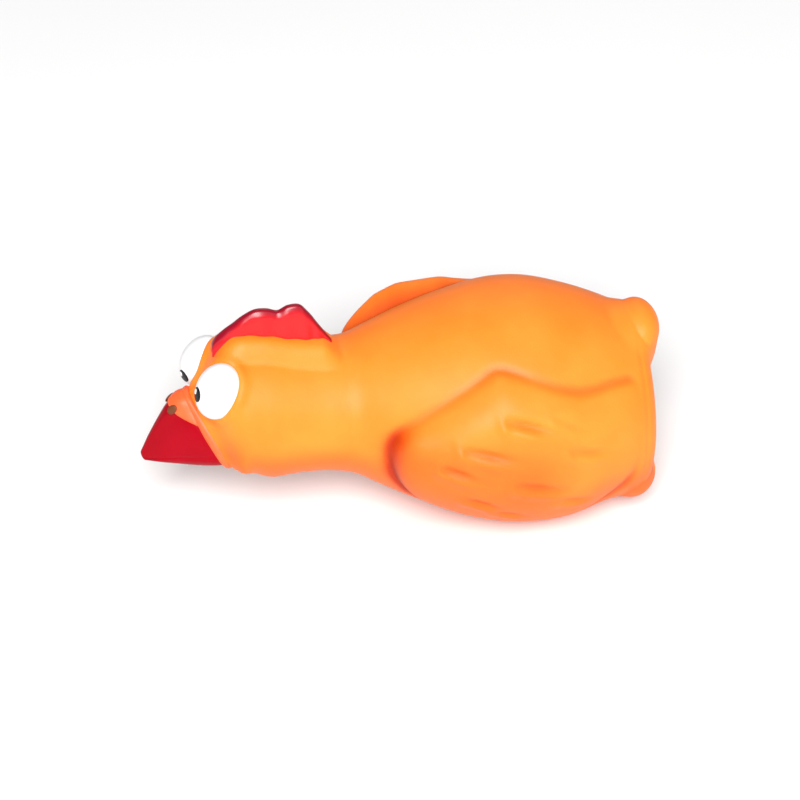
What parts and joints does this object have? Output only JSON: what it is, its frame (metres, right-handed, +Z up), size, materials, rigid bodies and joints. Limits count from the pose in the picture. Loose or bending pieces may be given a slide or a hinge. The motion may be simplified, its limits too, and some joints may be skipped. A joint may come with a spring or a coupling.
{
  "type": "squeaky rubber chicken",
  "caption": "Fat hollow latex chicken lying on its belly, with a bendable neck, squeezable sides and a push-in squeaker in its flat rear end.",
  "frame": {"origin": "on the resting surface, under the middle of the chicken's length and width", "axes": "-X towards the beak, +X out of the flat rear end, +Z up through the comb, -Y towards the chicken's left side"},
  "size_m": [0.1753, 0.0914, 0.0848],
  "materials": {
    "orange_latex": "satin moulded latex",
    "comb_paint": "glossy paint on latex",
    "beak_paint": "glossy paint on latex",
    "eye_paint": "glossy white paint on latex",
    "pupil_paint": "black paint",
    "nostril_paint": "brown paint",
    "squeaker_plastic": "off-white moulded plastic",
    "reed_brass": "thin brass strip"
  },
  "bodies": {
    "torso": {"torso_skin": "orange_latex", "tail": "orange_latex", "left_foot": "orange_latex", "right_foot": "orange_latex", "squeaker_housing": "squeaker_plastic", "squeaker_cap": "squeaker_plastic", "reed_tube": "squeaker_plastic"},
    "left_side": {"left_flank": "orange_latex", "left_wing": "orange_latex"},
    "right_side": {"right_flank": "orange_latex", "right_wing": "orange_latex"},
    "neck": {"neck_skin": "orange_latex"},
    "head": {"head_skin": "orange_latex", "comb": "comb_paint", "upper_beak": "beak_paint", "lower_beak": "beak_paint", "left_eye": "eye_paint", "right_eye": "eye_paint", "left_pupil": "pupil_paint", "right_pupil": "pupil_paint", "left_nostril": "nostril_paint", "right_nostril": "nostril_paint"},
    "reed": {"squeaker_reed": "reed_brass"}
  },
  "joints": [
    {"name": "neck_nod", "type": "hinge", "parent": "torso", "child": "neck", "pos_m": [-0.017, 0, 0.0443], "axis": [0, 1, 0], "range_deg": [-18, 14], "stiffness_Nm_per_rad": 0.7, "deforming": ["neck_skin"]},
    {"name": "neck_sway", "type": "hinge", "parent": "neck", "child": "head", "pos_m": [-0.017, 0, 0.0443], "axis": [0, 0, 1], "range_deg": [-25, 25], "stiffness_Nm_per_rad": 0.6, "deforming": ["neck_skin"]},
    {"name": "squeeze_left", "type": "slide", "parent": "torso", "child": "left_side", "axis": [0, 1, 0], "range_m": [0, 0.01], "stiffness_N_per_m": 900},
    {"name": "squeeze_right", "type": "slide", "parent": "torso", "child": "right_side", "axis": [0, -1, 0], "range_m": [0, 0.01], "stiffness_N_per_m": 900},
    {"name": "reed_flex", "type": "hinge", "parent": "torso", "child": "reed", "pos_m": [0.0783, 0, 0.0384], "axis": [0, 1, 0], "range_deg": [0, 4], "stiffness_Nm_per_rad": 0.02}
  ],
  "couplings": [
    {"joint": "squeeze_right", "follows": "squeeze_left", "ratio": 1}
  ]
}
